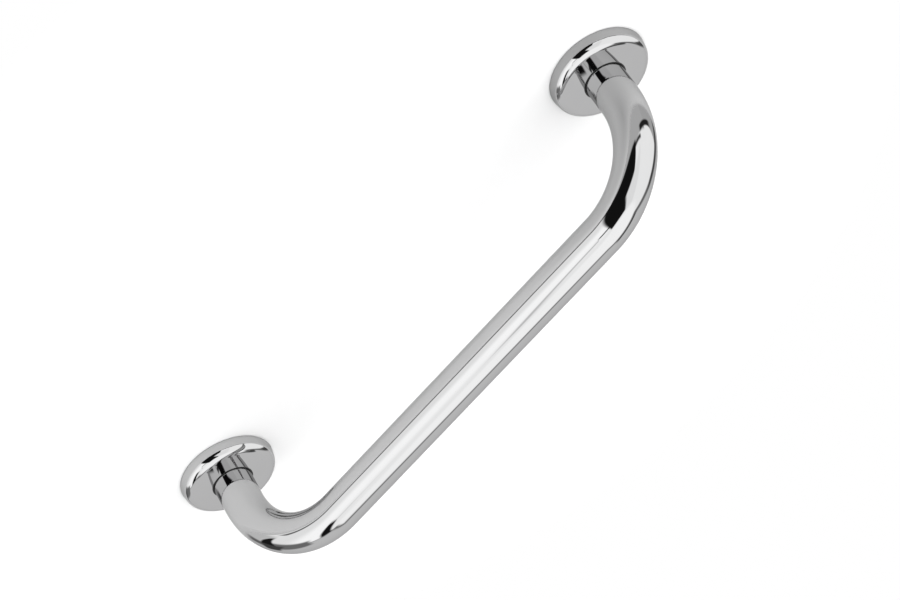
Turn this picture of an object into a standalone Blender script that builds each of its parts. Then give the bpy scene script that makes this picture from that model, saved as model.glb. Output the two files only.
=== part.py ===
"""Grab rail: a bent round tube held at each end by a screwed base plate under a slip-on cover.

Metres, +Z up. The mounting surface is the plane z = 0, the bar runs along X, and the origin lies
midway between the two ends. Left is -X.
"""

import math

import bmesh
import bpy

# Driving dimensions of the rail.
TUBE_RADIUS = 0.011
TUBE_WALL = 0.0015
END_CENTRES = 0.300
BAR_HEIGHT = 0.0725
BEND_RADIUS = 0.049

# Cover: a pressed cup whose edge rests on the mounting surface.
COVER_RADIUS = 0.027
COVER_HEIGHT = 0.0086
COVER_SKIRT_HEIGHT = 0.0034
COVER_SKIRT_TAPER = 0.0005
COVER_LIP_HEIGHT = 0.0008
COVER_FACE_RADIUS = 0.0212
COVER_CROWN = 0.0004
COVER_SHEET = 0.0008
COVER_HOLE_RADIUS = 0.0122

# Fixing behind the cover.
GASKET_THICKNESS = 0.0010
PLATE_RADIUS = 0.0247
PLATE_THICKNESS = 0.0040
SCREW_CIRCLE_RADIUS = 0.0175
SCREW_LENGTH = 0.030
SCREW_SHANK_RADIUS = 0.0024
SCREW_HEAD_RADIUS = 0.0047
CENTRE_SCREW_LENGTH = 0.016
CENTRE_SCREW_SHANK_RADIUS = 0.0037
CENTRE_SCREW_HEAD_RADIUS = 0.0074
PLUG_LENGTH = 0.012
RETAINING_RING_RADIUS = 0.0248
RETAINING_RING_SECTION = 0.0008

# Faces that touch on the real object are kept this far apart.
GAP = 0.0003

# Levels above the mounting surface, from the gasket up.
PLATE_BOTTOM = GASKET_THICKNESS + GAP
PLATE_TOP = PLATE_BOTTOM + PLATE_THICKNESS
TUBE_END = PLATE_TOP + GAP
HEAD_RECESS = 0.0002
SCREW_TOP = PLATE_TOP - HEAD_RECESS
CENTRE_SCREW_BOTTOM = PLATE_BOTTOM + GAP

# Countersinks stand this much wider than the heads in them, measured along the radius.
COUNTERSINK_PLAY = 0.0005
# Holes stand this much wider than the shanks in them.
HOLE_PLAY = GAP

BEND_STEPS = 12
TUBE_SIDES = 28
COVER_FACETS = 36
TURNED_FACETS = 28
SCREW_FACETS = 16
MERGE_DISTANCE = 0.00001
SMOOTH_ANGLE = math.radians(30)


def clear_scene():
    for obj in list(bpy.data.objects):
        bpy.data.objects.remove(obj)


def new_collection(name):
    collection = bpy.data.collections.new(name)
    bpy.context.scene.collection.children.link(collection)
    return collection


def material(name, colour, roughness, metallic):
    made = bpy.data.materials.new(name)
    made.use_nodes = True
    shader = made.node_tree.nodes["Principled BSDF"]
    shader.inputs["Base Color"].default_value = (*colour, 1.0)
    shader.inputs["Roughness"].default_value = roughness
    shader.inputs["Metallic"].default_value = metallic
    return made


def finished_mesh(obj, finish):
    """The object's mesh with its modifiers applied, smooth-shaded and with its finish."""
    depsgraph = bpy.context.evaluated_depsgraph_get()
    mesh = bpy.data.meshes.new_from_object(obj.evaluated_get(depsgraph))
    mesh.name = obj.name
    mesh.materials.clear()
    mesh.materials.append(finish)
    mesh.shade_smooth()
    mesh.set_sharp_from_angle(angle=SMOOTH_ANGLE)
    bpy.data.objects.remove(obj)
    return mesh


def turned(name, outline, closed, facets, collection):
    """A profile of (radius, height) points, turned about Z. It runs down the outer side."""
    bm = bmesh.new()
    verts = [bm.verts.new((radius, 0.0, height)) for radius, height in outline]
    for first, second in zip(verts, verts[1:]):
        bm.edges.new((first, second))
    if closed:
        bm.edges.new((verts[-1], verts[0]))
    mesh = bpy.data.meshes.new(name)
    bm.to_mesh(mesh)
    bm.free()
    obj = bpy.data.objects.new(name, mesh)
    collection.objects.link(obj)
    screw = obj.modifiers.new("Turn", "SCREW")
    screw.axis = "Z"
    screw.steps = facets
    screw.render_steps = facets
    screw.use_merge_vertices = True
    screw.merge_threshold = MERGE_DISTANCE
    return obj


def as_cutter(obj):
    obj.hide_render = True
    obj.display_type = "WIRE"
    return obj


def cut(obj, cutter):
    boolean = obj.modifiers.new("Cut", "BOOLEAN")
    boolean.operation = "DIFFERENCE"
    boolean.solver = "EXACT"
    boolean.object = cutter


def box_cutter(name, size, centre, cutters):
    bm = bmesh.new()
    bmesh.ops.create_cube(bm, size=1.0)
    bmesh.ops.scale(bm, vec=size, verts=bm.verts)
    bmesh.ops.translate(bm, vec=centre, verts=bm.verts)
    mesh = bpy.data.meshes.new(name)
    bm.to_mesh(mesh)
    bm.free()
    obj = bpy.data.objects.new(name, mesh)
    cutters.objects.link(obj)
    return as_cutter(obj)


def prism_cutter(name, sides, radius, bottom, top, cutters):
    """An upright prism of the given number of sides, between two heights."""
    bm = bmesh.new()
    bmesh.ops.create_cone(
        bm, cap_ends=True, segments=sides, radius1=radius, radius2=radius, depth=top - bottom
    )
    bmesh.ops.translate(bm, vec=(0.0, 0.0, (top + bottom) / 2), verts=bm.verts)
    mesh = bpy.data.meshes.new(name)
    bm.to_mesh(mesh)
    bm.free()
    obj = bpy.data.objects.new(name, mesh)
    cutters.objects.link(obj)
    return as_cutter(obj)


def screw_places():
    """The three fixing screws round the leg, the first on the side away from the bar's middle."""
    spots = []
    for index in range(3):
        angle = math.pi + index * math.tau / 3
        spots.append((SCREW_CIRCLE_RADIUS * math.cos(angle), SCREW_CIRCLE_RADIUS * math.sin(angle)))
    return spots


def centreline(end_height):
    """Up the left leg, round its bend, along the bar and down the right leg to end_height."""
    half = END_CENTRES / 2
    bend_height = BAR_HEIGHT - BEND_RADIUS
    left = [(-half, 0.0, end_height)]
    for step in range(BEND_STEPS + 1):
        angle = step / BEND_STEPS * math.pi / 2
        across = half - BEND_RADIUS * (1 - math.cos(angle))
        left.append((-across, 0.0, bend_height + BEND_RADIUS * math.sin(angle)))
    right = [(-x, y, z) for x, y, z in reversed(left)]
    return left + right


def bent_rod(name, radius, end_height, collection):
    """A solid round rod along the rail's centreline, as a mesh with its caps welded on."""
    curve = bpy.data.curves.new(name, "CURVE")
    curve.dimensions = "3D"
    curve.bevel_depth = radius
    curve.bevel_resolution = (TUBE_SIDES - 4) // 2
    curve.use_fill_caps = True
    points = centreline(end_height)
    spline = curve.splines.new("POLY")
    spline.points.add(len(points) - 1)
    for point, spot in zip(spline.points, points):
        point.co = (*spot, 1.0)
    holder = bpy.data.objects.new(name + "_curve", curve)
    collection.objects.link(holder)
    depsgraph = bpy.context.evaluated_depsgraph_get()
    mesh = bpy.data.meshes.new_from_object(holder.evaluated_get(depsgraph))
    bm = bmesh.new()
    bm.from_mesh(mesh)
    bmesh.ops.remove_doubles(bm, verts=bm.verts, dist=MERGE_DISTANCE)
    bm.to_mesh(mesh)
    bm.free()
    obj = bpy.data.objects.new(name, mesh)
    obj.matrix_world = holder.matrix_world
    collection.objects.link(obj)
    bpy.data.objects.remove(holder)
    return obj


def rail_tube_mesh(cutters, finish):
    """The tube, open at both ends, with its bore running past them."""
    tube = bent_rod("rail_tube", TUBE_RADIUS, TUBE_END, cutters)
    bore = as_cutter(
        bent_rod("tube_bore", TUBE_RADIUS - TUBE_WALL, TUBE_END - TUBE_WALL, cutters)
    )
    cut(tube, bore)
    return finished_mesh(tube, finish)


def end_plug_mesh(cutters, finish):
    """A threaded plug fixed inside the tube's end, level with it."""
    outer = TUBE_RADIUS - TUBE_WALL - GAP
    inner = CENTRE_SCREW_SHANK_RADIUS + HOLE_PLAY
    chamfer = 0.0006
    top = TUBE_END + PLUG_LENGTH
    outline = [
        (inner, top),
        (outer - chamfer, top),
        (outer, top - chamfer),
        (outer, TUBE_END + chamfer),
        (outer - chamfer, TUBE_END),
        (inner, TUBE_END),
    ]
    return finished_mesh(turned("end_plug", outline, True, TURNED_FACETS, cutters), finish)


def centre_screw_mesh(cutters, finish):
    """A countersunk hexagon-socket screw, head down, from the plate's back into the plug."""
    bottom = CENTRE_SCREW_BOTTOM
    top = bottom + CENTRE_SCREW_LENGTH
    head = CENTRE_SCREW_HEAD_RADIUS
    shank = CENTRE_SCREW_SHANK_RADIUS
    chamfer = 0.0008
    outline = [
        (0.0, top),
        (shank - chamfer, top),
        (shank, top - chamfer),
        (shank, bottom + head - shank),
        (head, bottom),
        (0.0, bottom),
    ]
    screw = turned("centre_screw", outline, False, SCREW_FACETS, cutters)
    socket_radius = 0.0029
    socket_depth = 0.0032
    socket = prism_cutter(
        "centre_screw_socket", 6, socket_radius, bottom - GAP, bottom + socket_depth, cutters
    )
    cut(screw, socket)
    return finished_mesh(screw, finish)


def base_plate_mesh(cutters, finish):
    """A disc with a groove round its edge, a countersink below and three countersinks above."""
    groove_bottom = RETAINING_RING_RADIUS - RETAINING_RING_SECTION - GAP
    groove_half = RETAINING_RING_SECTION + GAP
    middle = (PLATE_TOP + PLATE_BOTTOM) / 2
    edge_chamfer = 0.0004
    hole = CENTRE_SCREW_SHANK_RADIUS + HOLE_PLAY + COUNTERSINK_PLAY
    mouth = CENTRE_SCREW_HEAD_RADIUS + COUNTERSINK_PLAY + CENTRE_SCREW_BOTTOM - PLATE_BOTTOM
    outline = [
        (hole, PLATE_TOP),
        (PLATE_RADIUS - edge_chamfer, PLATE_TOP),
        (PLATE_RADIUS, PLATE_TOP - edge_chamfer),
        (PLATE_RADIUS, middle + groove_half),
        (groove_bottom, middle + groove_half),
        (groove_bottom, middle - groove_half),
        (PLATE_RADIUS, middle - groove_half),
        (PLATE_RADIUS, PLATE_BOTTOM),
        (mouth, PLATE_BOTTOM),
        (hole, PLATE_BOTTOM + mouth - hole),
    ]
    plate = turned("base_plate", outline, True, TURNED_FACETS, cutters)
    for index, spot in enumerate(screw_places()):
        countersink = screw_hole_cutter(f"plate_hole_{index}", cutters)
        countersink.location = (*spot, 0.0)
        cut(plate, countersink)
    return finished_mesh(plate, finish)


def screw_hole_cutter(name, cutters):
    """A countersunk hole for one fixing screw, running past both faces of the plate."""
    hole = SCREW_SHANK_RADIUS + HOLE_PLAY
    rise = 0.001
    mouth = SCREW_HEAD_RADIUS + COUNTERSINK_PLAY + HEAD_RECESS
    outline = [
        (0.0, PLATE_TOP + rise),
        (mouth, PLATE_TOP + rise),
        (mouth, PLATE_TOP),
        (hole, PLATE_TOP - (mouth - hole)),
        (hole, PLATE_BOTTOM - rise),
        (0.0, PLATE_BOTTOM - rise),
    ]
    return as_cutter(turned(name, outline, False, SCREW_FACETS, cutters))


def gasket_mesh(cutters, finish):
    """A flat rubber ring between the plate and the mounting surface, holed for the screws."""
    head_clearance = 0.0015
    inner = CENTRE_SCREW_HEAD_RADIUS + head_clearance
    outline = [
        (inner, GASKET_THICKNESS),
        (PLATE_RADIUS, GASKET_THICKNESS),
        (PLATE_RADIUS, 0.0),
        (inner, 0.0),
    ]
    gasket = turned("gasket", outline, True, TURNED_FACETS, cutters)
    hole = SCREW_SHANK_RADIUS + HOLE_PLAY
    past = 0.001
    for index, spot in enumerate(screw_places()):
        cutter = prism_cutter(
            f"gasket_hole_{index}", SCREW_FACETS, hole, -past, GASKET_THICKNESS + past, cutters
        )
        cutter.location = (*spot, 0.0)
        cut(gasket, cutter)
    return finished_mesh(gasket, finish)


def retaining_ring_mesh(cutters, finish):
    """A round-section rubber ring in the plate's groove, which grips the cover's skirt."""
    middle = (PLATE_TOP + PLATE_BOTTOM) / 2
    sides = 8
    outline = []
    for side in range(sides):
        angle = math.pi / 2 - side * math.tau / sides
        radius = RETAINING_RING_RADIUS + RETAINING_RING_SECTION * math.cos(angle)
        outline.append((radius, middle + RETAINING_RING_SECTION * math.sin(angle)))
    return finished_mesh(turned("retaining_ring", outline, True, TURNED_FACETS, cutters), finish)


def face_height(radius):
    """Height of the cover's crowned face at a distance from the leg's axis."""
    out = (radius - COVER_HOLE_RADIUS) / (COVER_FACE_RADIUS - COVER_HOLE_RADIUS)
    return COVER_HEIGHT - COVER_CROWN * out**2


def cover_outline():
    """The cover's outer side: crowned face, round shoulder, tapered skirt and upright lip."""
    outline = []
    face_steps = 3
    for step in range(face_steps):
        radius = COVER_HOLE_RADIUS + (COVER_FACE_RADIUS - COVER_HOLE_RADIUS) * step / face_steps
        outline.append((radius, face_height(radius)))
    shoulder_out = COVER_RADIUS - COVER_SKIRT_TAPER - COVER_FACE_RADIUS
    shoulder_up = COVER_HEIGHT - COVER_CROWN - COVER_SKIRT_HEIGHT
    shoulder_steps = 6
    for step in range(shoulder_steps + 1):
        angle = math.pi / 2 * (1 - step / shoulder_steps)
        radius = COVER_FACE_RADIUS + shoulder_out * math.cos(angle)
        outline.append((radius, COVER_SKIRT_HEIGHT + shoulder_up * math.sin(angle)))
    outline.append((COVER_RADIUS, COVER_LIP_HEIGHT))
    outline.append((COVER_RADIUS, 0.0))
    return outline


def cover_mesh(cutters, finish):
    """The pressed cover: its outer surface, thickened inwards by the sheet's thickness."""
    cover = turned("cover", cover_outline(), False, COVER_FACETS, cutters)
    shell = cover.modifiers.new("Sheet", "SOLIDIFY")
    shell.thickness = COVER_SHEET
    shell.offset = -1.0
    return finished_mesh(cover, finish)


def cover_bush_mesh(cutters, finish):
    """A nylon bush lining the cover's hole, with a flange under the cover's face."""
    inner = TUBE_RADIUS + GAP
    sleeve = COVER_HOLE_RADIUS - GAP
    flange = 0.0140
    flange_thickness = 0.0010
    sheet_bottom = face_height(flange) - COVER_SHEET - GAP
    outline = [
        (inner, COVER_HEIGHT),
        (sleeve, COVER_HEIGHT),
        (sleeve, sheet_bottom),
        (flange, sheet_bottom),
        (flange, sheet_bottom - flange_thickness),
        (inner, sheet_bottom - flange_thickness),
    ]
    return finished_mesh(turned("cover_bush", outline, True, TURNED_FACETS, cutters), finish)


def fixing_screw_mesh(cutters, finish):
    """A countersunk cross-recess wood screw, its head just below the plate's top."""
    head = SCREW_HEAD_RADIUS
    shank = SCREW_SHANK_RADIUS
    tip = SCREW_TOP - SCREW_LENGTH
    point_length = 0.006
    point_radius = 0.0003
    outline = [
        (0.0, SCREW_TOP),
        (head, SCREW_TOP),
        (shank, SCREW_TOP - (head - shank)),
        (shank, tip + point_length),
        (point_radius, tip),
        (0.0, tip),
    ]
    screw = turned("fixing_screw", outline, False, SCREW_FACETS, cutters)
    slot_length = 0.0052
    slot_width = 0.0011
    slot_depth = 0.0018
    above = 0.001
    centre = (0.0, 0.0, SCREW_TOP + (above - slot_depth) / 2)
    for name, size in (
        ("recess_along", (slot_length, slot_width, slot_depth + above)),
        ("recess_across", (slot_width, slot_length, slot_depth + above)),
    ):
        cut(screw, box_cutter(name, size, centre, cutters))
    return finished_mesh(screw, finish)


def place(name, mesh, parent, location, collection):
    obj = bpy.data.objects.new(name, mesh)
    obj.location = location
    obj.parent = parent
    collection.objects.link(obj)
    return obj


def build():
    clear_scene()
    rail = new_collection("grab_rail")
    cutters = new_collection("cutters")

    polished = material("polished_metal", (0.55, 0.55, 0.55), 0.05, 1.0)
    cover_finish = material("cover_metal", (0.55, 0.55, 0.55), 0.04, 1.0)
    plate_finish = material("plate_steel", (0.50, 0.50, 0.48), 0.35, 1.0)
    plug_finish = material("plug_steel", (0.48, 0.48, 0.47), 0.30, 1.0)
    screw_finish = material("screw_steel", (0.58, 0.58, 0.57), 0.25, 1.0)
    rubber = material("black_rubber", (0.02, 0.02, 0.02), 0.80, 0.0)
    nylon = material("black_nylon", (0.03, 0.03, 0.03), 0.50, 0.0)

    place("rail_tube", rail_tube_mesh(cutters, polished), None, (0.0, 0.0, 0.0), rail)

    pieces = {
        "end_plug": end_plug_mesh(cutters, plug_finish),
        "centre_screw": centre_screw_mesh(cutters, screw_finish),
        "base_plate": base_plate_mesh(cutters, plate_finish),
        "gasket": gasket_mesh(cutters, rubber),
        "retaining_ring": retaining_ring_mesh(cutters, rubber),
        "cover": cover_mesh(cutters, cover_finish),
        "cover_bush": cover_bush_mesh(cutters, nylon),
    }
    fixing_screw = fixing_screw_mesh(cutters, screw_finish)

    # Each end is an empty on its leg's axis, turned so that its first screw faces outwards.
    for side, across, turn in (
        ("left", -END_CENTRES / 2, 0.0),
        ("right", END_CENTRES / 2, math.pi),
    ):
        end = bpy.data.objects.new("end_" + side, None)
        end.location = (across, 0.0, 0.0)
        end.rotation_euler = (0.0, 0.0, turn)
        rail.objects.link(end)
        for name, mesh in pieces.items():
            place(f"{name}_{side}", mesh, end, (0.0, 0.0, 0.0), rail)
        for index, spot in enumerate(screw_places()):
            place(f"fixing_screw_{side}_{index + 1}", fixing_screw, end, (*spot, 0.0), rail)


build()
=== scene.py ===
"""Looks of the grab rail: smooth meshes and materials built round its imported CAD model.

Metres, in the model's own frame: the mounting surface is z = 0 and the bar runs along X.
"""

import math

import bmesh
import bpy
from mathutils import Matrix, Vector


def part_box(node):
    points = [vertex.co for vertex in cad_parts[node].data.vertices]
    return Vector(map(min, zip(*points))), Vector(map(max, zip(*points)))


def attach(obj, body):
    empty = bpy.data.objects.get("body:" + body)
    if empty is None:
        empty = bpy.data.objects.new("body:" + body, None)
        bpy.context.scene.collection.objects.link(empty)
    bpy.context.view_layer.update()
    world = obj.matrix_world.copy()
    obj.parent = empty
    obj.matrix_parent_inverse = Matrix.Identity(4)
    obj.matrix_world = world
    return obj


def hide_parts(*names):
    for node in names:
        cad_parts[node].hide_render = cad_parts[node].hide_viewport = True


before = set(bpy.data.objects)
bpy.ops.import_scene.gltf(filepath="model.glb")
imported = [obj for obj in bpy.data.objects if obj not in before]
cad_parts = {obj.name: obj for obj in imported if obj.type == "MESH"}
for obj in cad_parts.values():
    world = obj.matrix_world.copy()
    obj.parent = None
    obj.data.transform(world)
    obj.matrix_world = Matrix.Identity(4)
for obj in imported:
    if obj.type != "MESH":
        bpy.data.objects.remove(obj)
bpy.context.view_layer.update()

# Sizes that a node's box doesn't give.
TUBE_WALL = 0.0015
BEND_RADIUS = 0.049
COVER_SHEET = 0.0008
COVER_FACE_RADIUS = 0.0212
COVER_CROWN = 0.0004
COVER_SKIRT_HEIGHT = 0.0034
COVER_SKIRT_TAPER = 0.0005
COVER_LIP_HEIGHT = 0.0008
BUSH_FLANGE_THICKNESS = 0.0010
SCREW_SHANK_RADIUS = 0.0024
SCREW_HOLE_RADIUS = 0.0027
CENTRE_SHANK_RADIUS = 0.0037
CENTRE_HOLE_RADIUS = 0.0045
PLUG_BORE = 0.0040
GASKET_BORE = 0.0089
RING_SECTION = 0.0008

# The bush's fit on the tube and in the cover, closer than the 0.3 mm gaps of the CAD model.
COVER_HOLE_RADIUS = 0.01165
BUSH_BORE = 0.01105
BUSH_SLEEVE = 0.0116
BUSH_RECESS = 0.0003

PLATING = (0.46, 0.46, 0.462)
SCREW_STEEL = (0.58, 0.58, 0.57)
PLATE_STEEL = (0.50, 0.50, 0.48)
PLUG_STEEL = (0.48, 0.48, 0.47)

TUBE_SIDES = 128
LATHE_SIDES = 160
SMALL_SIDES = 64
SCREW_SIDES = 48


# --- mesh helpers ---------------------------------------------------------------------------------


def new_object(name, mesh, finish):
    """A piece with its finish, linked to the scene."""
    obj = bpy.data.objects.new(name, mesh)
    mesh.materials.clear()
    mesh.materials.append(finish)
    bpy.context.scene.collection.objects.link(obj)
    return obj


def rounded(corners, steps=5):
    """A closed outline of (radius, height) points from corners (radius, height, fillet)."""
    points = []
    for index, (radius, height, fillet) in enumerate(corners):
        here = Vector((radius, height))
        before = Vector(corners[index - 1][:2])
        after = Vector(corners[(index + 1) % len(corners)][:2])
        if fillet == 0.0:
            points.append(tuple(here))
            continue
        back, ahead = (before - here).normalized(), (after - here).normalized()
        half = back.angle(ahead) / 2
        reach = fillet / math.tan(half)
        centre = here + (back + ahead).normalized() * (fillet / math.sin(half))
        start, end = here + back * reach - centre, here + ahead * reach - centre
        sweep = start.angle_signed(end)
        for step in range(steps + 1):
            turn = Matrix.Rotation(-sweep * step / steps, 2)
            points.append(tuple(centre + turn @ start))
    return points


def outline_normals(points):
    """Outward normals of a closed outline, each side weighted by its length."""
    sides = []
    for here, ahead in zip(points, points[1:] + points[:1]):
        sides.append(Vector((ahead[1] - here[1], here[0] - ahead[0])))
    area = sum(a[0] * b[1] - b[0] * a[1] for a, b in zip(points, points[1:] + points[:1]))
    outward = 1.0 if area > 0 else -1.0
    return [((sides[i - 1] + sides[i]) * outward).normalized() for i in range(len(points))]


def lathe_mesh(name, points, sides, centre):
    """A closed outline of (radius, height) points turned about the upright axis at centre.

    Its UV map holds lengths: across is round the axis, up is along the outline.
    """
    bm = bmesh.new()
    uv_layer = bm.loops.layers.uv.new("lengths")
    normals = outline_normals(points)
    rings, vertex_normals = [], []
    for (radius, height), normal in zip(points, normals):
        ring = []
        for side in range(sides):
            angle = side / sides * math.tau
            c, s = math.cos(angle), math.sin(angle)
            ring.append(bm.verts.new((centre[0] + radius * c, centre[1] + radius * s, height)))
            vertex_normals.append((normal[0] * c, normal[0] * s, normal[1]))
        rings.append(ring)
    lengths = [0.0]
    for here, ahead in zip(points, points[1:] + points[:1]):
        lengths.append(lengths[-1] + math.dist(here, ahead))
    for index, ring in enumerate(rings):
        other = rings[(index + 1) % len(rings)]
        for side in range(sides):
            nxt = (side + 1) % sides
            face = bm.faces.new((ring[side], ring[nxt], other[nxt], other[side]))
            for loop, (across, up) in zip(face.loops, ((0, 0), (1, 0), (1, 1), (0, 1))):
                around = (side + across) / sides * math.tau * points[index][0]
                loop[uv_layer].uv = (around, lengths[index + up])
    bmesh.ops.recalc_face_normals(bm, faces=bm.faces)
    mesh = bpy.data.meshes.new(name)
    bm.to_mesh(mesh)
    bm.free()
    mesh.shade_smooth()
    mesh.normals_split_custom_set_from_vertices(vertex_normals)
    return mesh


def applied(obj):
    """Replaces a piece's mesh with what its modifiers make of it."""
    depsgraph = bpy.context.evaluated_depsgraph_get()
    mesh = bpy.data.meshes.new_from_object(obj.evaluated_get(depsgraph))
    obj.modifiers.clear()
    obj.data = mesh
    return obj


def cut_all(obj, cutters):
    """Takes the cutters out of a piece, then sharpens the new edges and flattens its flats."""
    sharp_angle = math.radians(35)
    largest_faces_only = 100
    for cutter in cutters:
        boolean = obj.modifiers.new("Cut", "BOOLEAN")
        boolean.operation = "DIFFERENCE"
        boolean.solver = "EXACT"
        boolean.object = cutter
    applied(obj)
    for cutter in cutters:
        bpy.data.objects.remove(cutter)
    obj.data.set_sharp_from_angle(angle=sharp_angle)
    weighted = obj.modifiers.new("Flats", "WEIGHTED_NORMAL")
    weighted.keep_sharp = True
    weighted.weight = largest_faces_only
    return applied(obj)


def solid_from_rings(name, rings):
    """A closed mesh through rings of points, capped at both ends."""
    bm = bmesh.new()
    made = [[bm.verts.new(point) for point in ring] for ring in rings]
    for lower, upper in zip(made, made[1:]):
        for side in range(len(lower)):
            nxt = (side + 1) % len(lower)
            bm.faces.new((lower[side], lower[nxt], upper[nxt], upper[side]))
    bm.faces.new(made[0])
    bm.faces.new(made[-1])
    bmesh.ops.recalc_face_normals(bm, faces=bm.faces)
    mesh = bpy.data.meshes.new(name)
    bm.to_mesh(mesh)
    bm.free()
    return mesh


def cutter_object(name, rings):
    """A closed solid that is taken out of a piece by cut_all."""
    obj = bpy.data.objects.new(name, solid_from_rings(name, rings))
    bpy.context.scene.collection.objects.link(obj)
    return obj


# --- materials ------------------------------------------------------------------------------------


class Nodes:
    """A material's node tree, with short calls for the nodes used here."""

    def __init__(self, name):
        self.material = bpy.data.materials.new(name)
        self.material.use_nodes = True
        self.tree = self.material.node_tree
        self.shader = self.tree.nodes["Principled BSDF"]

    def node(self, kind, inputs=(), **settings):
        made = self.tree.nodes.new(kind)
        for key, value in settings.items():
            setattr(made, key, value)
        for key, value in dict(inputs).items():
            if isinstance(value, bpy.types.NodeSocket):
                self.tree.links.new(value, made.inputs[key])
            else:
                made.inputs[key].default_value = value
        return made

    def coordinates(self, output, scale):
        place = self.node("ShaderNodeTexCoord")
        mapping = self.node("ShaderNodeMapping", {"Vector": place.outputs[output]})
        mapping.inputs["Scale"].default_value = scale
        return mapping.outputs["Vector"]

    def noise(self, vector, scale, detail=3.0, rough=0.5):
        inputs = {"Vector": vector, "Scale": scale, "Detail": detail, "Roughness": rough}
        return self.node("ShaderNodeTexNoise", inputs).outputs["Fac"]

    def remap(self, value, low, high, start=0.0, end=1.0):
        inputs = {"Value": value, "From Min": start, "From Max": end, "To Min": low, "To Max": high}
        return self.node("ShaderNodeMapRange", inputs, clamp=True).outputs["Result"]

    def math(self, operation, first, second):
        made = self.node("ShaderNodeMath", {0: first, 1: second}, operation=operation)
        return made.outputs["Value"]

    def mix(self, factor, dark, light):
        made = self.node("ShaderNodeMix", {"Factor": factor}, data_type="RGBA")
        sockets = {socket.identifier: socket for socket in (*made.inputs, *made.outputs)}
        sockets["A_Color"].default_value = (*dark, 1.0)
        sockets["B_Color"].default_value = (*light, 1.0)
        return sockets["Result_Color"]

    def bump(self, height, distance, strength=1.0, normal=None):
        inputs = {"Height": height, "Distance": distance, "Strength": strength}
        if normal is not None:
            inputs["Normal"] = normal
        return self.node("ShaderNodeBump", inputs).outputs["Normal"]

    def finish(self, colour=None, roughness=None, normal=None, **fixed):
        for key, value in (("Base Color", colour), ("Roughness", roughness), ("Normal", normal)):
            if value is not None:
                self.tree.links.new(value, self.shader.inputs[key])
        for key, value in fixed.items():
            self.shader.inputs[key.replace("_", " ")].default_value = value
        return self.material


def polished_metal(name, tint, stretch):
    """Mirror-polished plating: faint polishing lines, hairline scratches and handling haze.

    The grazing tint keeps its rims from going white.
    """
    n = Nodes(name)
    swell_height, line_height = 0.0000035, 0.0000002
    scratch_roughness = 0.05
    grazing = (0.65, 0.65, 0.65, 1.0)
    place = n.coordinates("Object", (1, 1, 1))
    lines = n.noise(n.coordinates("UV", stretch), scale=1.0, detail=4.0, rough=0.6)
    haze = n.noise(place, scale=45.0, detail=4.0, rough=0.6)
    swell = n.noise(place, scale=90.0, detail=1.0, rough=0.4)
    colour = n.mix(haze, [c * 0.97 for c in tint], [c * 1.03 for c in tint])
    scratch = n.remap(lines, 0.0, 1.0, start=0.66, end=0.74)
    polish = n.remap(haze, 0.012, 0.045, start=0.35, end=0.75)
    roughness = n.math("ADD", polish, n.math("MULTIPLY", scratch, scratch_roughness))
    normal = n.bump(lines, line_height, normal=n.bump(swell, swell_height))
    return n.finish(colour, roughness, normal, Metallic=1.0, Specular_Tint=grazing)


def turned_steel(name, tint, centre, ring_scale, low, high):
    """Machined steel: turning marks about an upright axis, dull patches, roughness low to high."""
    n = Nodes(name)
    place = n.node("ShaderNodeTexCoord").outputs["Object"]
    shifted = n.node("ShaderNodeVectorMath", {0: place, 1: centre}, operation="SUBTRACT")
    rings = n.node(
        "ShaderNodeTexWave",
        {"Vector": shifted.outputs[0], "Scale": ring_scale, "Distortion": 1.5, "Detail": 2.0},
        wave_type="RINGS",
        rings_direction="Z",
    ).outputs["Fac"]
    grain = n.noise(shifted.outputs[0], scale=2500.0, rough=0.6)
    patches = n.noise(shifted.outputs[0], scale=130.0)
    colour = n.mix(patches, [c * 0.86 for c in tint], [c * 1.08 for c in tint])
    blend = n.math("ADD", n.math("MULTIPLY", rings, 0.5), n.math("MULTIPLY", grain, 0.5))
    roughness = n.remap(blend, low, high)
    mark_height = 0.000012
    normal = n.bump(blend, mark_height, strength=0.8)
    return n.finish(colour, roughness, normal, Metallic=1.0)


def moulded(name, dark, light, low, high, grain_scale, relief):
    """Moulded rubber or nylon: fine grain, faint bloom, roughness from low to high."""
    n = Nodes(name)
    place = n.coordinates("Object", (1, 1, 1))
    grain = n.noise(place, scale=grain_scale, rough=0.6)
    bloom = n.noise(place, scale=160.0, rough=0.55)
    colour = n.mix(bloom, dark, light)
    roughness = n.remap(bloom, low, high)
    normal = n.bump(grain, relief, strength=0.7)
    return n.finish(colour, roughness, normal, Specular_IOR_Level=0.4)


# --- pieces ---------------------------------------------------------------------------------------


def box_axis(node):
    """The middle of a node's box, seen from above."""
    low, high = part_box(node)
    return ((low.x + high.x) / 2, (low.y + high.y) / 2)


def box_radius(node):
    """Half the width of a round node's box."""
    low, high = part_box(node)
    return (high.x - low.x) / 2


def tube_line(half, foot, bar_height):
    """The tube's centre line as (x, z, angle away from upright), from the left end to the right."""
    leg_steps, bend_steps, bar_steps = 10, 56, 36
    bend_start = bar_height - BEND_RADIUS
    line = []
    for step in range(leg_steps):
        line.append((-half, foot + (bend_start - foot) * step / leg_steps, 0.0))
    for step in range(bend_steps + 1):
        angle = step / bend_steps * math.pi / 2
        x = -half + BEND_RADIUS * (1 - math.cos(angle))
        line.append((x, bend_start + BEND_RADIUS * math.sin(angle), angle))
    span = half - BEND_RADIUS
    bar = []
    for step in range(1, bar_steps):
        bar.append((-span + 2 * span * step / bar_steps, bar_height, math.pi / 2))
    return line + bar + [(-x, z, math.pi - angle) for x, z, angle in reversed(line)]


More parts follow.
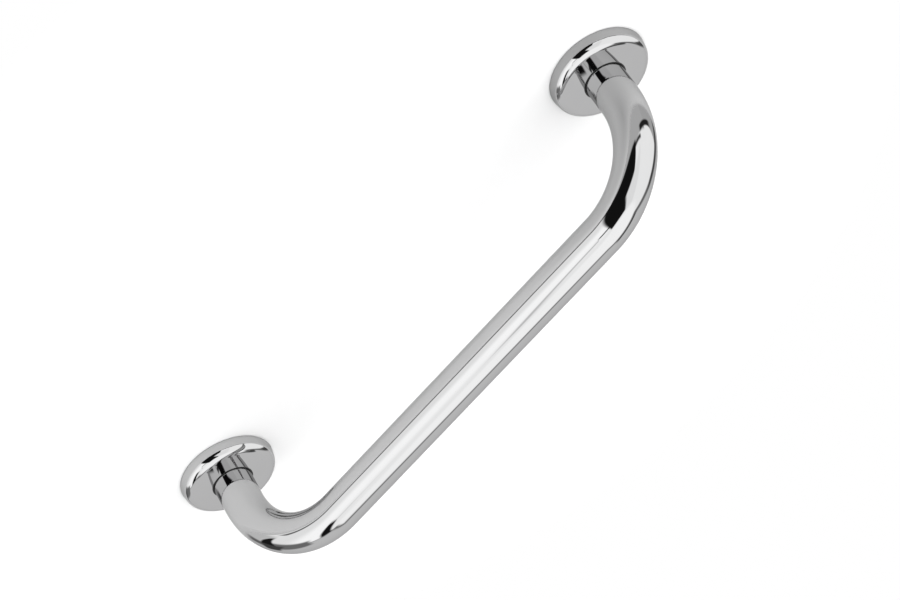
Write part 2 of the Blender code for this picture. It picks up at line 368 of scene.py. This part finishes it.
def tube_mesh():
    """The bent tube: outer wall, rounded ends and bore, in one closed grid of rings."""
    low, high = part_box("rail_tube")
    radius = (high.y - low.y) / 2
    bore = radius - TUBE_WALL
    line = tube_line((high.x - low.x) / 2 - radius, low.z, high.z - radius)
    travelled = [0.0]
    for here, ahead in zip(line, line[1:]):
        travelled.append(travelled[-1] + math.dist(here[:2], ahead[:2]))
    edge, edge_steps = 0.00025, 5

    def end_rings(index, first_quarter, middles, inset):
        """Rings over one end of the wall, a quarter turn round each of its two edges."""
        rings = []
        for corner, middle in enumerate(middles):
            for step in range(edge_steps + 1):
                tilt = (first_quarter + corner + step / edge_steps) * math.pi / 2
                r = middle + edge * math.cos(tilt)
                rings.append((index, r, tilt, inset + edge * math.sin(tilt)))
        return rings

    last = len(line) - 1
    rings = [(index, radius, 0.0, 0.0) for index in range(1, last)]
    rings += end_rings(last, 0, (radius - edge, bore + edge), -edge)
    rings += [(index, bore, math.pi, 0.0) for index in range(last - 1, 0, -1)]
    rings += end_rings(0, 2, (bore + edge, radius - edge), edge)

    bm = bmesh.new()
    uv_layer = bm.loops.layers.uv.new("lengths")
    made, normals = [], []
    for index, r, tilt, shift in rings:
        x, z, angle = line[index]
        tangent = Vector((math.sin(angle), 0.0, math.cos(angle)))
        across = Vector((math.cos(angle), 0.0, -math.sin(angle)))
        centre = Vector((x, 0.0, z)) + tangent * shift
        ring = []
        for side in range(TUBE_SIDES):
            turn = side / TUBE_SIDES * math.tau
            spoke = across * math.cos(turn) + Vector((0.0, 1.0, 0.0)) * math.sin(turn)
            ring.append(bm.verts.new(centre + spoke * r))
            normals.append(spoke * math.cos(tilt) + tangent * math.sin(tilt))
        made.append((ring, travelled[index]))
    for index, (ring, along) in enumerate(made):
        other, along_other = made[(index + 1) % len(made)]
        for side in range(TUBE_SIDES):
            nxt = (side + 1) % TUBE_SIDES
            face = bm.faces.new((ring[side], other[side], other[nxt], ring[nxt]))
            for loop, (up, across) in zip(face.loops, ((0, 0), (1, 0), (1, 1), (0, 1))):
                around = (side + across) / TUBE_SIDES * math.tau * radius
                loop[uv_layer].uv = (along_other if up else along, around)
    bmesh.ops.recalc_face_normals(bm, faces=bm.faces)
    mesh = bpy.data.meshes.new("polished_tube")
    bm.to_mesh(mesh)
    bm.free()
    mesh.shade_smooth()
    mesh.normals_split_custom_set_from_vertices(normals)
    return mesh


def cover_outline(node):
    """The pressed cover's closed outline: outer side down to the lip, then back up inside."""
    radius, height = box_radius(node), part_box(node)[1].z
    face_steps, shoulder_steps, skirt_steps, rim_steps = 20, 28, 8, 5
    inner_face_steps, inner_shoulder_steps = 10, 14
    rim, burr, lip, lip_edge, flare = 0.0003, 0.0002, 0.0002, 0.0001, 1.3
    rim_radius = COVER_HOLE_RADIUS + rim
    shoulder_out = radius - COVER_SKIRT_TAPER - COVER_FACE_RADIUS
    shoulder_up = height - COVER_CROWN - COVER_SKIRT_HEIGHT
    inside = radius - COVER_SHEET

    def crowned(r):
        """The face's height at a radius."""
        out = (r - COVER_HOLE_RADIUS) / (COVER_FACE_RADIUS - COVER_HOLE_RADIUS)
        return height - COVER_CROWN * out**2

    def shoulder(angle, sheet):
        """A point of the shoulder, or of its inner side, at an angle above the skirt."""
        out, up = shoulder_out - sheet, shoulder_up - sheet
        return (COVER_FACE_RADIUS + out * math.cos(angle), COVER_SKIRT_HEIGHT + up * math.sin(angle))

    points = []
    for step in range(face_steps):
        r = rim_radius + (COVER_FACE_RADIUS - rim_radius) * step / face_steps
        points.append((r, crowned(r)))
    for step in range(shoulder_steps + 1):
        points.append(shoulder(math.pi / 2 * (1 - step / shoulder_steps), 0.0))
    for step in range(1, skirt_steps + 1):
        share = step / skirt_steps
        z = COVER_SKIRT_HEIGHT + (COVER_LIP_HEIGHT - COVER_SKIRT_HEIGHT) * share
        points.append((radius - COVER_SKIRT_TAPER * (1 - share) ** flare, z))
    points += [(radius, lip), (radius - lip_edge, 0.0), (inside + lip_edge, 0.0), (inside, lip)]
    points.append((inside, COVER_LIP_HEIGHT))
    for step in range(1, inner_shoulder_steps + 1):
        points.append(shoulder(math.pi / 2 * step / inner_shoulder_steps, COVER_SHEET))
    for step in range(1, inner_face_steps + 1):
        share = step / inner_face_steps
        r = COVER_FACE_RADIUS + (COVER_HOLE_RADIUS + burr - COVER_FACE_RADIUS) * share
        points.append((r, crowned(r) - COVER_SHEET))
    points.append((COVER_HOLE_RADIUS, height - COVER_SHEET + burr))
    for step in range(rim_steps):
        angle = math.pi - math.pi / 2 * step / rim_steps
        points.append((rim_radius + rim * math.cos(angle), height - rim + rim * math.sin(angle)))
    return points


def bush_outline(node):
    """The bush's section: a sleeve in the cover's hole, with a flange under the cover's face."""
    low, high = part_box(node)
    flange = box_radius(node)
    shelf = low.z + BUSH_FLANGE_THICKNESS
    top = high.z - BUSH_RECESS
    soft = 0.0001
    return rounded(
        [
            (BUSH_BORE, top, soft),
            (BUSH_SLEEVE, top, soft),
            (BUSH_SLEEVE, shelf, soft),
            (flange, shelf, soft),
            (flange, low.z, soft),
            (BUSH_BORE, low.z, soft),
        ]
    )


def ring_outline(node):
    """Round section of the retaining ring."""
    low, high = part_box(node)
    middle = (low.z + high.z) / 2
    centre = box_radius(node) - RING_SECTION
    steps = 24
    points = []
    for step in range(steps):
        angle = math.pi / 2 - step / steps * math.tau
        out, up = RING_SECTION * math.cos(angle), RING_SECTION * math.sin(angle)
        points.append((centre + out, middle + up))
    return points


def plate_outline(node, ring_node):
    """The plate's section, with the groove for the retaining ring and the lower countersink."""
    low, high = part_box(node)
    radius = box_radius(node)
    ring_low, ring_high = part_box(ring_node)
    middle = (ring_low.z + ring_high.z) / 2
    groove_room = 0.0003
    groove_bottom = box_radius(ring_node) - 2 * RING_SECTION - groove_room
    groove_half = RING_SECTION + groove_room
    mouth = 0.0082
    return rounded(
        [
            (CENTRE_HOLE_RADIUS, high.z, 0.0002),
            (radius, high.z, 0.0004),
            (radius, middle + groove_half, 0.0001),
            (groove_bottom, middle + groove_half, 0.0003),
            (groove_bottom, middle - groove_half, 0.0003),
            (radius, middle - groove_half, 0.0001),
            (radius, low.z, 0.0002),
            (mouth, low.z, 0.0001),
            (CENTRE_HOLE_RADIUS, low.z + mouth - CENTRE_HOLE_RADIUS, 0.0001),
        ],
        steps=4,
    )


def plug_outline(node):
    """The plug's section: a thick ring with softened edges."""
    low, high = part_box(node)
    radius = box_radius(node)
    return rounded(
        [
            (PLUG_BORE, high.z, 0.0004),
            (radius, high.z, 0.0006),
            (radius, low.z, 0.0006),
            (PLUG_BORE, low.z, 0.0004),
        ]
    )


def gasket_outline(node):
    """The gasket's section: a flat ring, its upper edges more rounded than its lower ones."""
    low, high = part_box(node)
    radius = box_radius(node)
    return rounded(
        [
            (GASKET_BORE, high.z, 0.0002),
            (radius, high.z, 0.0003),
            (radius, low.z, 0.0001),
            (GASKET_BORE, low.z, 0.0001),
        ]
    )


def circle(spot, radius, z, sides):
    """The corners of a level polygon round a spot."""
    points = []
    for side in range(sides):
        angle = side / sides * math.tau
        points.append((spot[0] + radius * math.cos(angle), spot[1] + radius * math.sin(angle), z))
    return points


def countersink_cutter(spot, low, high):
    """A countersunk hole for a wood screw, running past both faces of the plate."""
    hole, mouth, past, sides = SCREW_HOLE_RADIUS, 0.0054, 0.001, 48
    levels = ((hole, low - past), (hole, high - (mouth - hole)), (mouth, high), (mouth, high + past))
    return cutter_object("countersink", [circle(spot, r, z, sides) for r, z in levels])


def gasket_hole_cutter(spot, low, high):
    """A plain hole for a wood screw, running past both faces of the gasket."""
    past, sides = 0.001, 40
    rings = [circle(spot, SCREW_HOLE_RADIUS, z, sides) for z in (low - past, high + past)]
    return cutter_object("gasket_hole", rings)


def plain_radius(profile, z):
    """The radius at a height, on straight lines between the heights that profile names."""
    heights = sorted(profile)
    for low, high in zip(heights, heights[1:]):
        if z <= high:
            share = (z - low) / (high - low)
            return profile[low] + (profile[high] - profile[low]) * share
    return profile[heights[-1]]


def threaded_rings(spot, profile, crest, root, pitch, start, stop):
    """Rings of a screw from its underside up, with a thread between two heights.

    profile gives the plain radius at a height. The thread runs out over one pitch at each end.
    """
    ridge_slope, rings_in_pitch = 3.2, 10
    bottom, top = min(profile), max(profile)
    fine = pitch / rings_in_pitch
    levels = []
    z = bottom
    while z < top - 1e-9:
        levels.append(z)
        z += fine if start - fine < z < stop else fine * 2
    levels.append(top)
    rings = []
    for z in levels:
        plain = plain_radius(profile, z)
        run_in = min(1.0, max(0.0, (z - start) / pitch))
        run_out = min(1.0, max(0.0, (stop - z) / pitch))
        depth = (crest - root) * run_in * run_out * min(1.0, plain / crest)
        ring = []
        for side in range(SCREW_SIDES):
            angle = side / SCREW_SIDES * math.tau
            turn = (z / pitch - side / SCREW_SIDES) % 1.0
            ridge = max(0.0, 1.0 - abs(turn - 0.5) * ridge_slope)
            r = plain - depth * (1.0 - ridge)
            ring.append((spot[0] + r * math.cos(angle), spot[1] + r * math.sin(angle), z))
        rings.append(ring)
    return rings


def cross_ring(spot, arm, width, turn, z):
    """The outline of a cross with arms of a half length and a half width, turned in plan."""
    a, w = arm, width
    corners = [(a, -w), (a, w), (w, w), (w, a), (-w, a), (-w, w)]
    corners += [(-x, -y) for x, y in corners]
    c, s = math.cos(turn), math.sin(turn)
    return [(spot[0] + x * c - y * s, spot[1] + x * s + y * c, z) for x, y in corners]


def wood_screw(name, node, finish, turn):
    """A countersunk wood screw with a cut thread and a tapered cross recess."""
    low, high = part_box(node)
    spot = box_axis(node)
    head, shank = box_radius(node), SCREW_SHANK_RADIUS
    tip, tip_length, band, edge = 0.0002, 0.006, 0.0002, 0.00005
    root, pitch = 0.0016, 0.0022
    neck, neck_length, step, fillet = shank * 0.86, 0.0055, 0.0005, 0.0003
    under = high.z - (head - shank)
    neck_low = under - neck_length
    profile = {
        low.z: tip,
        low.z + tip_length: shank,
        neck_low - step: shank,
        neck_low: neck,
        under - fillet: neck,
        under: shank,
        high.z - band - 3 * edge: head - edge,
        high.z - band: head,
        high.z - edge: head - edge,
        high.z: head - band,
    }
    rings = threaded_rings(spot, profile, shank, root, pitch, low.z + tip, neck_low - fillet)
    screw = new_object(name, solid_from_rings(name, rings), finish)
    screw.data.shade_smooth()
    arm, width, depth, past = 0.0026, 0.00055, 0.0022, 0.001
    foot_share, mouth_share, width_taper = 0.42, 1.12, 0.25
    recess = []
    for z, share in ((high.z - depth, foot_share), (high.z + past, mouth_share)):
        half_width = width * (1.0 - width_taper + width_taper * share)
        recess.append(cross_ring(spot, arm * share, half_width, turn, z))
    return cut_all(screw, [cutter_object("recess", recess)])


def socket_screw(name, node, finish):
    """The countersunk centre screw, head down, with a machine thread and a hexagon socket."""
    low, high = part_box(node)
    spot = box_axis(node)
    head, shank = box_radius(node), CENTRE_SHANK_RADIUS
    edge, chamfer = 0.0002, 0.0008
    root, pitch, plain_neck = 0.0031, 0.00125, 0.0003
    over = low.z + head - shank
    profile = {
        low.z: head - edge,
        low.z + edge: head,
        over: shank,
        high.z - chamfer: shank,
        high.z: shank - chamfer,
    }
    past_top = high.z + 0.001
    rings = threaded_rings(spot, profile, shank, root, pitch, over + plain_neck, past_top)
    screw = new_object(name, solid_from_rings(name, rings), finish)
    screw.data.shade_smooth()
    corner_radius, depth, past = 0.0029, 0.0032, 0.001
    socket = [circle(spot, corner_radius, z, 6) for z in (low.z - past, low.z + depth)]
    return cut_all(screw, [cutter_object("socket", socket)])


def settle(obj, body, slot, *nodes):
    """Puts a piece on its body and hides the CAD nodes that it stands for; slot is not used."""
    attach(obj, body)
    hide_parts(*nodes)


def build_tube():
    finish = polished_metal("tube_plating", PLATING, (60, 900, 1))
    settle(new_object("polished_tube", tube_mesh(), finish), "rail", "tube_metal", "rail_tube")


def build_end(side, cover_metal, nylon, rubber, gasket_rubber):
    """Everything on one leg, from the cover down to the screws."""
    axis = box_axis("cover_" + side)
    centre = (*axis, 0.0)

    def lathed(name, node, outline, finish, body, slot, sides=LATHE_SIDES):
        made = new_object(name, lathe_mesh(name, outline, sides, axis), finish)
        settle(made, body, slot, node)
        return made

    node = "cover_" + side
    outline = cover_outline(node)
    lathed("pressed_cover_" + side, node, outline, cover_metal, side + "_cover", "cover_metal")

    node = "cover_bush_" + side
    outline = bush_outline(node)
    lathed("nylon_bush_" + side, node, outline, nylon, side + "_bush", "bush_nylon")

    node = "retaining_ring_" + side
    lathed("rubber_ring_" + side, node, ring_outline(node), rubber, "rail", "ring_rubber")

    node = "end_plug_" + side
    steel = turned_steel("plug_steel_" + side, PLUG_STEEL, centre, 1100.0, 0.2, 0.38)
    outline = plug_outline(node)
    lathed("threaded_plug_" + side, node, outline, steel, "rail", "plug_steel", SMALL_SIDES)

    screws = [f"fixing_screw_{side}_{index}" for index in (1, 2, 3)]
    spots = [box_axis(screw) for screw in screws]

    node = "base_plate_" + side
    low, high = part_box(node)
    steel = turned_steel("plate_steel_" + side, PLATE_STEEL, centre, 900.0, 0.22, 0.42)
    outline = plate_outline(node, "retaining_ring_" + side)
    plate = lathed("turned_plate_" + side, node, outline, steel, "rail", "plate_steel")
    cut_all(plate, [countersink_cutter(spot, low.z, high.z) for spot in spots])

    node = "gasket_" + side
    low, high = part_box(node)
    outline = gasket_outline(node)
    gasket = lathed("rubber_gasket_" + side, node, outline, gasket_rubber, "rail", "gasket_rubber")
    cut_all(gasket, [gasket_hole_cutter(spot, low.z, high.z) for spot in spots])

    first_turn, turn_step = 0.35, 1.1
    for index, (screw, spot) in enumerate(zip(screws, spots)):
        label = f"{side}_{index + 1}"
        middle = (*spot, 0.0)
        steel = turned_steel("screw_steel_" + label, SCREW_STEEL, middle, 1500.0, 0.2, 0.36)
        made = wood_screw("wood_screw_" + label, screw, steel, first_turn + turn_step * index)
        settle(made, "rail", "screw_steel", screw)

    node = "centre_screw_" + side
    steel = turned_steel("socket_steel_" + side, SCREW_STEEL, centre, 1300.0, 0.2, 0.36)
    settle(socket_screw("socket_screw_" + side, node, steel), "rail", "screw_steel", node)


def build_rail():
    build_tube()
    metal = polished_metal("cover_plating", PLATING, (60, 1400, 1))
    dark, light = (0.012, 0.012, 0.012), (0.03, 0.03, 0.03)
    nylon = moulded("bush_nylon", dark, light, 0.42, 0.6, 3000.0, 0.00001)
    dark, light = (0.014, 0.014, 0.014), (0.03, 0.03, 0.03)
    rubber = moulded("ring_rubber", dark, light, 0.7, 0.85, 2200.0, 0.00002)
    dark, light = (0.02, 0.02, 0.02), (0.045, 0.044, 0.042)
    gasket_rubber = moulded("gasket_rubber", dark, light, 0.75, 0.95, 1600.0, 0.00004)
    for side in ("left", "right"):
        build_end(side, metal, nylon, rubber, gasket_rubber)


# --- studio ---------------------------------------------------------------------------------------


def build_floor():
    """A plain pale table top, just under the mounting surface, that fades out at its rim.

    In reflections its colour is darker in front of the left end, a painted shadow of the flag; the
    camera sees it unshaded.
    """
    radius, fade_start, drop, sides = 0.30, 0.24, 0.0002, 96
    shade_centre, shade_radius, shade = (-0.16, -0.08, 0.0), 0.14, 0.60
    grain_scale = 60.0
    bm = bmesh.new()
    bm.faces.new([bm.verts.new(point) for point in circle((0.0, 0.0), radius, -drop, sides)])
    mesh = bpy.data.meshes.new("table_top")
    bm.to_mesh(mesh)
    bm.free()
    n = Nodes("table_top")
    place = n.node("ShaderNodeTexCoord").outputs["Object"]

    def vector_math(operation, output, inputs):
        return n.node("ShaderNodeVectorMath", inputs, operation=operation).outputs[output]

    pale = n.mix(n.noise(place, grain_scale), (0.91, 0.91, 0.91), (0.93, 0.93, 0.93))
    # Painted shadow of the flag: the colour darkens towards shade_centre for every ray but the
    # camera's.
    away = vector_math("DISTANCE", "Value", {0: place, 1: shade_centre})
    shaded = n.remap(away, shade, 1.0, 0.0, shade_radius)
    direct = n.node("ShaderNodeLightPath").outputs["Is Camera Ray"]
    tone = n.math("MAXIMUM", shaded, direct)
    colour = vector_math("SCALE", "Vector", {0: pale, "Scale": tone})
    out = vector_math("LENGTH", "Value", {0: place})
    n.tree.links.new(n.remap(out, 1.0, 0.0, fade_start, radius), n.shader.inputs["Alpha"])
    n.finish(colour, Roughness=0.8, Specular_IOR_Level=0.1)
    new_object("table_top", mesh, n.material)


def build_camera():
    """Above one long side, rolled so that the bar runs up to the right and the legs point up left."""
    azimuth, elevation, roll = (math.radians(angle) for angle in (-23.698, 35.136, -147.289))
    distance, aim_right, aim_up = 1.3214, 0.02333, -0.01170
    right = Vector((math.cos(azimuth), math.sin(azimuth), 0.0))
    ahead = Vector((-math.sin(azimuth), math.cos(azimuth), 0.0))
    back = Vector((0.0, 0.0, math.sin(elevation))) - ahead * math.cos(elevation)
    up = back.cross(right)
    turned_right = right * math.cos(roll) - up * math.sin(roll)
    turned_up = right * math.sin(roll) + up * math.cos(roll)
    data = bpy.data.cameras.new("camera")
    data.sensor_width = 36.0
    data.lens = 101.9
    data.clip_start, data.clip_end = 0.05, 50.0
    camera = bpy.data.objects.new("camera", data)
    columns = Matrix((turned_right, turned_up, back)).transposed().to_4x4()
    columns.translation = turned_right * aim_right + turned_up * aim_up + back * distance
    camera.matrix_world = columns
    bpy.context.scene.collection.objects.link(camera)
    bpy.context.scene.camera = camera


class Studio:
    """The light round the object: soft boxes and dark flags, placed by azimuth and elevation.

    Angles are degrees: azimuth from +X towards +Y, elevation up from the mounting surface.
    """

    def __init__(self, level):
        self.world = bpy.data.worlds.new("studio")
        bpy.context.scene.world = self.world
        self.world.use_nodes = True
        self.tree = self.world.node_tree
        self.tree.nodes.clear()
        place = self.tree.nodes.new("ShaderNodeTexCoord")
        parts = self.tree.nodes.new("ShaderNodeSeparateXYZ")
        self.tree.links.new(place.outputs["Generated"], parts.inputs[0])
        x, y, z = parts.outputs
        self.azimuth = self.math("MULTIPLY", self.math("ARCTAN2", y, x), math.degrees(1))
        self.elevation = self.math("MULTIPLY", self.math("ARCSINE", z), math.degrees(1))
        self.value = level

    def math(self, operation, first, second=None):
        made = self.tree.nodes.new("ShaderNodeMath")
        made.operation = operation
        for socket, value in zip(made.inputs, (first, second)):
            if isinstance(value, bpy.types.NodeSocket):
                self.tree.links.new(value, socket)
            elif value is not None:
                socket.default_value = value
        return made.outputs[0]

    def step(self, value, start, end):
        """0 before start and 1 after end, or the other way round."""
        made = self.tree.nodes.new("ShaderNodeMapRange")
        made.interpolation_type = "SMOOTHSTEP"
        self.tree.links.new(value, made.inputs["Value"])
        made.inputs["From Min"].default_value = start
        made.inputs["From Max"].default_value = end
        return made.outputs["Result"]

    def panel(self, level, azimuths, elevations, soft, lean=(0.0, 0.0), tilt=(0.0, 0.0)):
        """A panel of even light, its edges soft over so many degrees across and up.

        Its left and right edges lean by so many degrees per degree up, and its bottom and top
        edges rise by so many degrees per degree along, about the panel's middle.
        """
        left, right = azimuths
        bottom, top = elevations
        across, up = soft[0] / 2, soft[1] / 2
        along = self.math("SUBTRACT", self.azimuth, (left + right) / 2)
        edges = (
            (self.azimuth, self.elevation, lean[0], left - across, left + across),
            (self.azimuth, self.elevation, lean[1], right + across, right - across),
            (self.elevation, along, tilt[0], bottom - up, bottom + up),
            (self.elevation, along, tilt[1], top + up, top - up),
        )
        mask = 1.0
        for value, other, slope, start, end in edges:
            if slope:
                value = self.math("SUBTRACT", value, self.math("MULTIPLY", other, slope))
            mask = self.math("MULTIPLY", mask, self.step(value, start, end))
        mixed = self.tree.nodes.new("ShaderNodeMix")
        self.tree.links.new(mask, mixed.inputs["Factor"])
        for key, value in (("A", self.value), ("B", level)):
            if isinstance(value, bpy.types.NodeSocket):
                self.tree.links.new(value, mixed.inputs[key])
            else:
                mixed.inputs[key].default_value = value
        self.value = mixed.outputs["Result"]

    def finish(self, backdrop_level):
        """Lights the scene, and shows the camera an even pale backdrop."""
        light = self.tree.nodes.new("ShaderNodeBackground")
        light.inputs["Color"].default_value = (1.0, 1.0, 1.0, 1.0)
        self.tree.links.new(self.value, light.inputs["Strength"])
        backdrop = self.tree.nodes.new("ShaderNodeBackground")
        seen = (backdrop_level, backdrop_level, backdrop_level, 1.0)
        backdrop.inputs["Color"].default_value = seen
        path = self.tree.nodes.new("ShaderNodeLightPath")
        mix = self.tree.nodes.new("ShaderNodeMixShader")
        out = self.tree.nodes.new("ShaderNodeOutputWorld")
        self.tree.links.new(path.outputs["Is Camera Ray"], mix.inputs["Fac"])
        self.tree.links.new(light.outputs[0], mix.inputs[1])
        self.tree.links.new(backdrop.outputs[0], mix.inputs[2])
        self.tree.links.new(mix.outputs[0], out.inputs["Surface"])


def build_light():
    """A white tent with one big soft box, a black flag round the camera and a few darker things."""
    studio = Studio(1.0)
    black = 0.012
    all_round = (-400.0, 400.0)
    # The white tent and its roof, over a pale surround.
    studio.panel(1.68, all_round, (-16, 100), soft=(4, 2))
    studio.panel(1.85, all_round, (63, 100), soft=(4, 8))
    studio.panel(0.78, (-200, -84), (-18, 3.5), soft=(6, 3))
    studio.panel(0.72, (120, 200), (-18, -1), soft=(16, 3))
    studio.panel(1.0, (-40, 10), (-20, -9), soft=(10, 3))
    # The grey back wall, its darker frame, and a dark corner and rail at its far side.
    studio.panel(0.25, (-3, 125), (-18, 61), soft=(9, 6), lean=(0.0, 0.08))
    studio.panel(0.12, (110, 126), (-18, 26), soft=(6, 8), lean=(0.08, 0.08))
    studio.panel(1.0, (14, 112), (-18, 55), soft=(8, 6), lean=(0.0, 0.08))
    studio.panel(1.0, (0, 60), (27, 55), soft=(16, 8))
    studio.panel(0.12, (76, 118), (49, 56), soft=(8, 3))
    # The key box, brighter towards its top, with a stand's arm across it and a dull board beside it.
    studio.panel(1.55, (-79, -12), (-8, 30), soft=(4, 6), lean=(0.0, 0.2))
    studio.panel(1.95, (-79, -8), (15, 46), soft=(4, 20), lean=(-0.12, 0.2))
    studio.panel(0.08, (-90, -71), (39, 44), soft=(4, 2), tilt=(-0.3, -0.3))
    studio.panel(1.0, (-71, -56), (46, 49), soft=(4, 3), tilt=(1.0, 1.0))
    studio.panel(0.28, (-12, 15), (-6, 31), soft=(10, 6))
    # The flag over the key box, and the far and near edges of the table.
    studio.panel(black, (-47, 4), (41.5, 53), soft=(12, 4), tilt=(0.03, 0.03))
    studio.panel(0.02, (-34, 4), (-9, -2), soft=(10, 2), tilt=(0.0, 0.25))
    studio.panel(0.10, (0, 24), (-9, 4), soft=(8, 3), tilt=(-0.08, -0.4))
    studio.panel(0.25, (-85, -45), (-14, -8.5), soft=(4, 3))
    # The dark gap under the tent's far side, in three pieces.
    studio.panel(0.03, (150, 204), (-4, 1), soft=(16, 2), tilt=(0.1, 0.1))
    studio.panel(0.03, (-210, -156), (-4, 1), soft=(10, 2), tilt=(0.1, 0.1))
    studio.panel(0.10, (-157, -128), (3.5, 7), soft=(5, 2.5), tilt=(-0.1, -0.1))
    # The black flag round the camera, with one upper corner turned back.
    studio.panel(black, (-131, -80), (-6.3, 58), soft=(3, 3), lean=(0.12, -0.09), tilt=(-0.27, 0.0))
    studio.panel(1.5, (-150, -98), (25, 60), soft=(6, 6), lean=(0.0, -0.4), tilt=(0.5, 0.0))
    studio.finish(1.0)
    bpy.context.scene.view_settings.view_transform = "Standard"


build_rail()
build_floor()
build_camera()
build_light()
